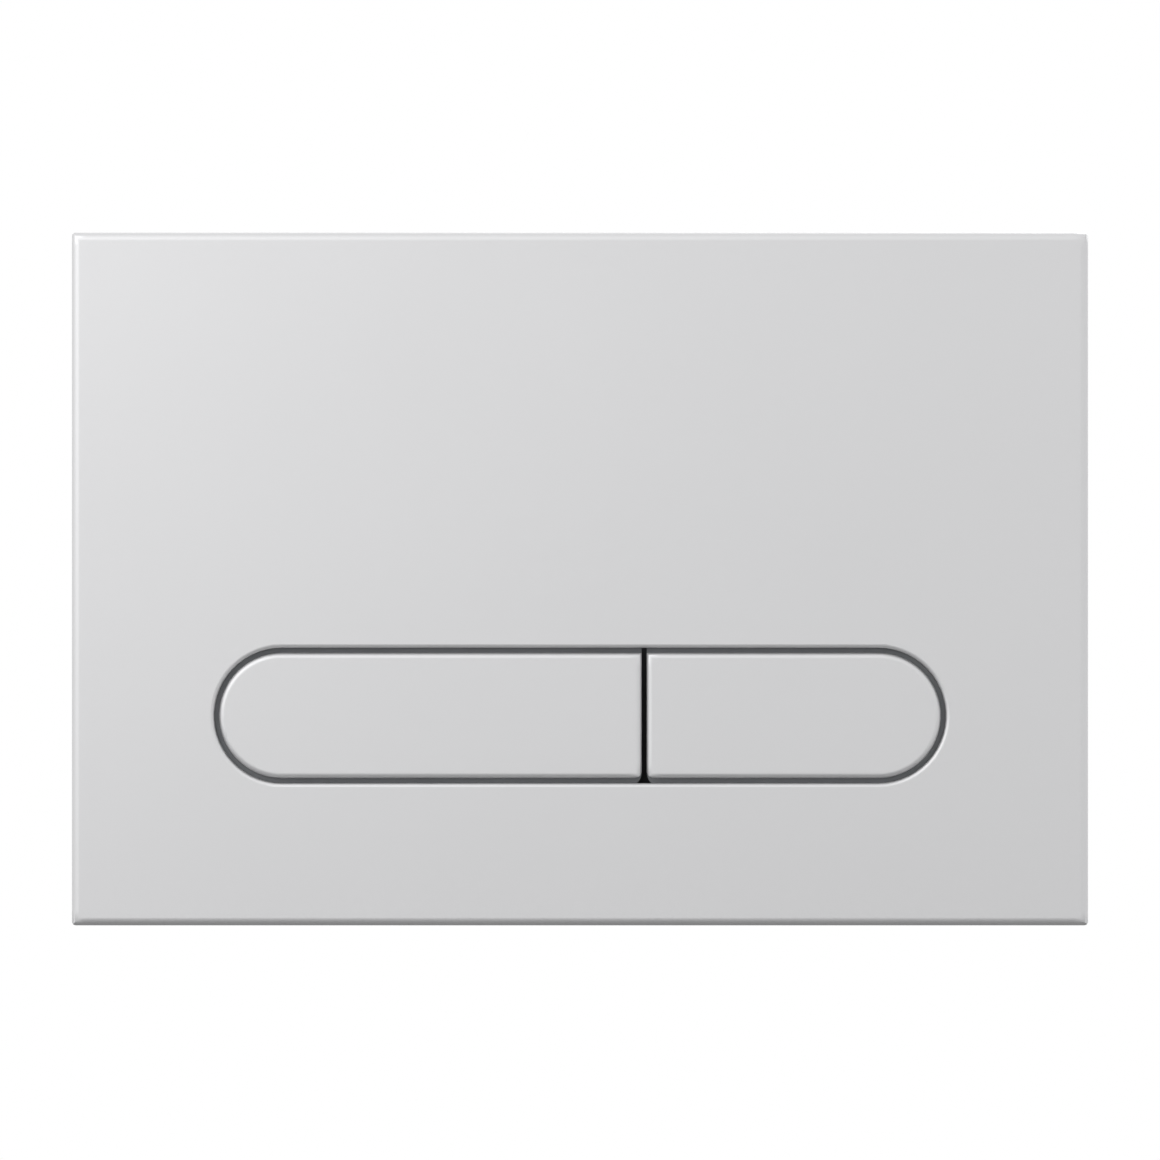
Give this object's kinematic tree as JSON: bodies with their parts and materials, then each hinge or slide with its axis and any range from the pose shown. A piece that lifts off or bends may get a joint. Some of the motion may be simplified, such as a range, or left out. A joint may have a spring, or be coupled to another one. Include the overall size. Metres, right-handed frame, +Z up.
{
  "type": "flush button plate",
  "caption": "Rectangular wall plate with a wide and a narrow tilting button in a round-ended opening, sprung push rods, fixing studs and a mounting frame behind, for a concealed cistern.",
  "frame": {"origin": "middle of the plate's outline, on the plane of the finished wall", "axes": "+X to the viewer's right, +Y into the wall, +Z up"},
  "size_m": [0.22, 0.087, 0.15],
  "materials": {
    "plate_finish": "satin",
    "button_finish": "satin",
    "frame_plastic": "matte",
    "pin_steel": "satin",
    "bumper_rubber": "matte",
    "zinc_steel": "satin",
    "nut_plastic": "satin",
    "plunger_plastic": "satin",
    "sleeve_plastic": "satin",
    "spring_steel": "satin",
    "rod_plastic": "satin",
    "lock_nut_plastic": "satin",
    "tip_plastic": "satin"
  },
  "bodies": {
    "plate": {"front_plate": "plate_finish", "mounting_frame": "frame_plastic", "hinge_pin": "pin_steel", "bumpers": "bumper_rubber", "fixing_studs": "zinc_steel", "fixing_washers": "zinc_steel", "fixing_nuts": "nut_plastic", "full_flush_guide_sleeve": "sleeve_plastic", "full_flush_spring": "spring_steel", "half_flush_guide_sleeve": "sleeve_plastic", "half_flush_spring": "spring_steel"},
    "full_flush_button": {"full_flush_button": "button_finish"},
    "full_flush_rod": {"full_flush_plunger": "plunger_plastic", "full_flush_adjusting_rod": "rod_plastic", "full_flush_lock_nut": "lock_nut_plastic", "full_flush_rod_tip": "tip_plastic"},
    "half_flush_button": {"half_flush_button": "button_finish"},
    "half_flush_rod": {"half_flush_plunger": "plunger_plastic", "half_flush_adjusting_rod": "rod_plastic", "half_flush_lock_nut": "lock_nut_plastic", "half_flush_rod_tip": "tip_plastic"}
  },
  "joints": [
    {"name": "full_flush_press", "type": "hinge", "parent": "plate", "child": "full_flush_button", "pos_m": [0, -0.00512, -0.0107], "axis": [1, 0, 0], "range_deg": [0, 8], "stiffness_Nm_per_rad": 0.3604, "springref_deg": -8.54},
    {"name": "full_flush_rod_slide", "type": "slide", "parent": "plate", "child": "full_flush_rod", "axis": [0, 1, 0], "range_m": [0, 0.00375], "deforming": ["full_flush_spring"]},
    {"name": "half_flush_press", "type": "hinge", "parent": "plate", "child": "half_flush_button", "pos_m": [0, -0.00512, -0.0107], "axis": [1, 0, 0], "range_deg": [0, 8], "stiffness_Nm_per_rad": 0.3604, "springref_deg": -8.54},
    {"name": "half_flush_rod_slide", "type": "slide", "parent": "plate", "child": "half_flush_rod", "axis": [0, 1, 0], "range_m": [0, 0.00375], "deforming": ["half_flush_spring"]}
  ],
  "couplings": [
    {"joint": "full_flush_rod_slide", "follows": "full_flush_press", "m_per_rad": 0.026848},
    {"joint": "half_flush_rod_slide", "follows": "half_flush_press", "m_per_rad": 0.026848}
  ]
}
